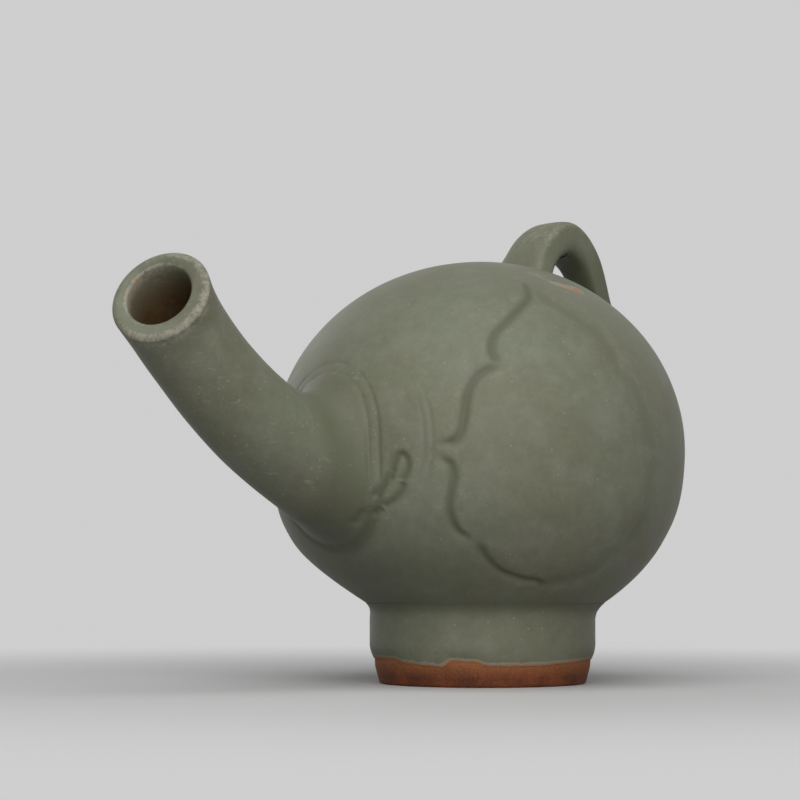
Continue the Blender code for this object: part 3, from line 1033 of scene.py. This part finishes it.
def makeStrap():
    bm = bmesh.new()
    around = strap["around"]
    line = smoothLine([Vector((x, 0.0, z)) for x, z in strap["points"]], strap["steps"])
    rows = []
    for number, spot in enumerate(line):
        along = number / (len(line) - 1)
        before, after = line[max(number - 1, 0)], line[min(number + 1, len(line) - 1)]
        outward = (after - before).normalized().cross(Vector((0.0, 1.0, 0.0)))
        root = 1.0 - ease(min(along, 1.0 - along), 0.0, strap["smearLength"])
        wide = between(strap["width"], along) / 2 * (1.0 + strap["smear"] * root ** 2)
        inner = between(strap["inner"], along)
        points = []
        for step in range(around):
            across, out = strapSection(math.tau * step / around, inner)
            points.append(spot + outward * out + Vector((0.0, across * wide, 0.0)))
        rows.append(points)
    loft(bm, rows)
    for rim in (bm.verts[:around], bm.verts[-around:]):
        bmesh.ops.contextual_create(bm, geom=rim)
    bmesh.ops.recalc_face_normals(bm, faces=bm.faces)
    poolAndShade, thin, _ = addMarks(bm)
    for number, vert in enumerate(bm.verts):
        inward = -math.sin(math.tau * (number % around) / around)
        x, _, z = vert.co
        crown = ease(z, *strap["crownSpan"]) * ease(-inward, *strap["crownSide"])
        rear = ease(x, *strap["rearSpan"]) * (1.0 - ease(z, *strap["rearTop"]))
        under = ease(inward, *strap["innerSide"]) * ease(x, *strap["innerSpan"])
        # painted highlight on the crown
        vert[thin] = strap["crownHighlight"] * crown
        # painted shade on the rear leg and on the finger's side
        vert[poolAndShade] = max(strap["rearShade"] * rear, strap["innerShade"] * under)
    nodes = ("handle_loop", "handle_front_root", "handle_rear_root")
    finishPiece("strapLoop", bm, glazes["handleGlaze"], nodes)


makeStrap()


# foot: bare red clay below, and a glaze skin that ends in an uneven line

foot = {
    "around": 240,
    "unit": 0.001,
    # radius and height in millimetres. Clay: along the top, down the wall, along the base, up the recess
    "claySection": (
        (27.0, 26.5), (38.1, 26.5), (38.1, 14.0), (37.7, 9.2), (37.5, 6.0), (36.7, 3.0), (36.3, 1.32),
        (36.15, 0.72), (35.76, 0.21), (35.22, 0.0), (29.1, 0.0), (28.68, 0.18), (28.5, 0.6),
        (27.7, 12.0)),
    # Glaze: down from its top edge on the belly, round its lower edge and up behind
    "glazeSection": (
        (41.7, 27.9), (40.8, 27.0), (40.1, 26.0), (39.6, 24.6), (39.4, 22.5), (39.4, 19.0),
        (39.4, 15.0), (39.4, 13.2), (39.2, 11.8), (38.9, 10.6), (38.6, 9.7), (38.3, 9.0), (38.0, 8.4),
        (37.8, 8.2), (37.3, 9.4), (37.2, 24.0), (38.5, 29.5)),
    # toasted clay outside the recess, near the glaze
    "toast": 0.85,
    "toastRadius": 0.0325,
    "toastSpan": (0.0040, 0.0080),
    # heights where the glaze leans on to the belly, waves, is worn, and is darker near its top
    "seatTilt": 54.2,
    "seatSpan": (0.0225, 0.0279),
    "waveSpan": (0.0090, 0.0132),
    "edgeThin": 1.70,
    "edgeSpan": (0.0086, 0.0098),
    "topDarken": 0.35,
    "topSpan": (0.0235, 0.0262),
    # turn from the spout side toward -Y in degrees, and how many millimetres the glaze edge drops there
    "edgeDrops": (
        (-36, -0.5), (-6, -0.9), (2, 0.35), (20, 1.1), (25, 1.4), (30, -0.7), (41, -0.4), (50, 0.95),
        (65, 1.0), (80, 0.9), (94, 0.4), (109, 0.0), (128, -0.2), (150, 0.6), (175, -0.5), (200, 0.8),
        (222, 0.2), (245, -0.9), (270, 0.5), (290, 0.9), (310, -0.3), (324, -0.5)),
}


def turnSection(bm, section):
    unit = foot["unit"]
    verts = [bm.verts.new((radius * unit, 0.0, height * unit)) for radius, height in section]
    edges = [bm.edges.new(pair) for pair in zip(verts, verts[1:] + verts[:1])]
    bmesh.ops.spin(
        bm, geom=verts + edges, cent=(0, 0, 0), axis=up, angle=math.tau,
        steps=foot["around"], use_merge=True,
    )
    bmesh.ops.remove_doubles(bm, verts=bm.verts, dist=sameSpot)
    bmesh.ops.recalc_face_normals(bm, faces=bm.faces)


def aimDown(turn, tilt):
    flat = math.cos(math.radians(tilt))
    return Vector((flat * math.cos(turn), flat * math.sin(turn), -math.sin(math.radians(tilt))))


def glazeWave(turn):
    # eased from one drop to the next round the foot
    drops = foot["edgeDrops"]
    first = drops[0][0]
    spot = (180.0 + math.degrees(turn) - first) % 360.0 + first
    (left, high), (right, low) = next(pair for pair in zip(drops, drops[1:]) if spot <= pair[1][0])
    return -foot["unit"] * (high + (low - high) * ease(spot, left, right))


def makeFootClay():
    bm = bmesh.new()
    turnSection(bm, foot["claySection"])
    toast = bm.verts.layers.float.new("toast")
    for vert in bm.verts:
        if vert.co.xy.length > foot["toastRadius"]:
            vert[toast] = foot["toast"] * ease(vert.co.z, *foot["toastSpan"])
    finishPiece("footClay", bm, bareClay, ("foot_ring",))


def makeFootGlaze():
    bm = bmesh.new()
    turnSection(bm, foot["glazeSection"])
    poolAndShade, thin, _ = addMarks(bm)
    radius, height = (size * foot["unit"] for size in foot["glazeSection"][0])
    for vert in bm.verts:
        turn = math.atan2(vert.co.y, vert.co.x)
        seat = onBelly(aimDown(turn, foot["seatTilt"]), 0.0)
        home = Vector((math.cos(turn) * radius, math.sin(turn) * radius, height))
        vert.co += (seat - home) * ease(vert.co.z, *foot["seatSpan"])
        vert[thin] = foot["edgeThin"] * (1.0 - ease(vert.co.z, *foot["edgeSpan"]))
        # darker near its top, where it meets the belly
        vert[poolAndShade] = foot["topDarken"] * ease(vert.co.z, *foot["topSpan"])
        vert.co.z += (1.0 - ease(vert.co.z, *foot["waveSpan"])) * glazeWave(turn)
    finishPiece("footGlaze", bm, glazes["footGlaze"], ())


makeFootClay()
makeFootGlaze()


# floor, light and camera

stage = {
    "floorSize": 4.0,
    "floorSides": 96,
    "floorSeen": (0.95, 0.95, 0.95, 1.0),
    "floorShade": (0.86, 0.86, 0.86, 1.0),
    "floorPatches": (0.05, 3.0),
    "shadeSpan": (0.2, 0.8, 0.0, 0.06),
    "floorBounce": (0.145, 0.145, 0.145, 1.0),
    "floorRoughness": 0.7,
    # distances over which the floor fades into the backdrop
    "fadeSpan": (0.10, 0.45),
    "skySeen": (0.62, 0.62, 0.62, 1.0),
    "skyFill": (0.005, 0.005, 0.005, 1.0),
    # power, size, and place toward the camera, to its right and up
    "lamps": {
        "keyLamp": (7.4, 1.0, (1.08, 0.12, 0.30)),
        "topLamp": (4.9, 1.0, (0.50, 0.0, 1.05)),
        "backLamp": (1.8, 0.8, (-1.00, -0.80, 0.50)),
    },
}
view = {
    "turn": -44.0,
    "distance": 0.878,
    "height": 0.0418,
    "yaw": 1.88,
    "pitch": 3.73,
    "lens": 112.5,
    "sensor": 36.0,
}
viewTurn = math.radians(view["turn"])
toCamera = Vector((math.sin(viewTurn), -math.cos(viewTurn), 0.0))
toRight = Vector((math.cos(viewTurn), math.sin(viewTurn), 0.0))


def seenRays(tree):
    # 1 where the camera looks, straight, by reflection or through glass
    rays = addNode(tree, "ShaderNodeLightPath")
    seen = calc(tree, "MAXIMUM", rays.outputs["Is Camera Ray"], rays.outputs["Is Glossy Ray"])
    return calc(tree, "MAXIMUM", seen, rays.outputs["Is Transmission Ray"])


def makeFloor():
    bm = bmesh.new()
    bmesh.ops.create_circle(bm, cap_ends=True, segments=stage["floorSides"], radius=stage["floorSize"])
    mesh = bpy.data.meshes.new("floor")
    bm.to_mesh(mesh)
    bm.free()
    floor = bpy.data.objects.new("floor", mesh)
    bpy.context.scene.collection.objects.link(floor)
    material, tree, shader = newMaterial("paleFloor")
    where = addNode(tree, "ShaderNodeTexCoord").outputs["Object"]
    patches = spread(tree, grain(tree, where, *stage["floorPatches"]), *stage["shadeSpan"])
    pale = tint(tree, patches, stage["floorSeen"], stage["floorShade"])
    seen = seenRays(tree)
    feed(tree, shader.inputs["Base Color"], tint(tree, seen, stage["floorBounce"], pale))
    feed(tree, shader.inputs["Roughness"], stage["floorRoughness"])
    away = addNode(tree, "ShaderNodeVectorMath", {0: where}, operation="LENGTH").outputs["Value"]
    far = spread(tree, away, *stage["fadeSpan"])
    backdrop = addNode(tree, "ShaderNodeEmission", {"Color": stage["skySeen"]})
    blend = addNode(tree, "ShaderNodeMixShader", {
        0: times(tree, far, seen), 1: shader.outputs["BSDF"], 2: backdrop.outputs["Emission"]})
    feed(tree, tree.nodes["Material Output"].inputs["Surface"], blend.outputs["Shader"])
    mesh.materials.append(material)


def addLamp(name, power, size, place):
    lamp = bpy.data.lights.new(name, "AREA")
    lamp.energy = power
    lamp.size = size
    rig = bpy.data.objects.new(name, lamp)
    toward, side, high = place
    rig.location = footAxis + toCamera * toward + toRight * side + up * high
    aim = footAxis + up * belly["middle"] - rig.location
    rig.rotation_euler = aim.to_track_quat("-Z", "Y").to_euler()
    bpy.context.scene.collection.objects.link(rig)


def makeWorld():
    world = bpy.data.worlds.new("softStudio")
    world.use_nodes = True
    tree = world.node_tree
    sky = tint(tree, seenRays(tree), stage["skyFill"], stage["skySeen"])
    feed(tree, tree.nodes["Background"].inputs["Color"], sky)
    bpy.context.scene.world = world


def makeCamera():
    lens = bpy.data.cameras.new("camera")
    lens.lens = view["lens"]
    lens.sensor_width = view["sensor"]
    camera = bpy.data.objects.new("camera", lens)
    yaw, pitch = math.radians(view["yaw"]), math.radians(view["pitch"])
    ahead = -toCamera * math.cos(yaw) - toRight * math.sin(yaw)
    ahead = ahead * math.cos(pitch) + up * math.sin(pitch)
    camera.location = footAxis + toCamera * view["distance"] + up * view["height"]
    camera.rotation_euler = ahead.to_track_quat("-Z", "Y").to_euler()
    bpy.context.scene.collection.objects.link(camera)
    bpy.context.scene.camera = camera


makeFloor()
for lampName, lampSettings in stage["lamps"].items():
    addLamp(lampName, *lampSettings)
makeWorld()
makeCamera()
bpy.context.scene.view_settings.view_transform = "Standard"
print("stage, lamps and camera set")
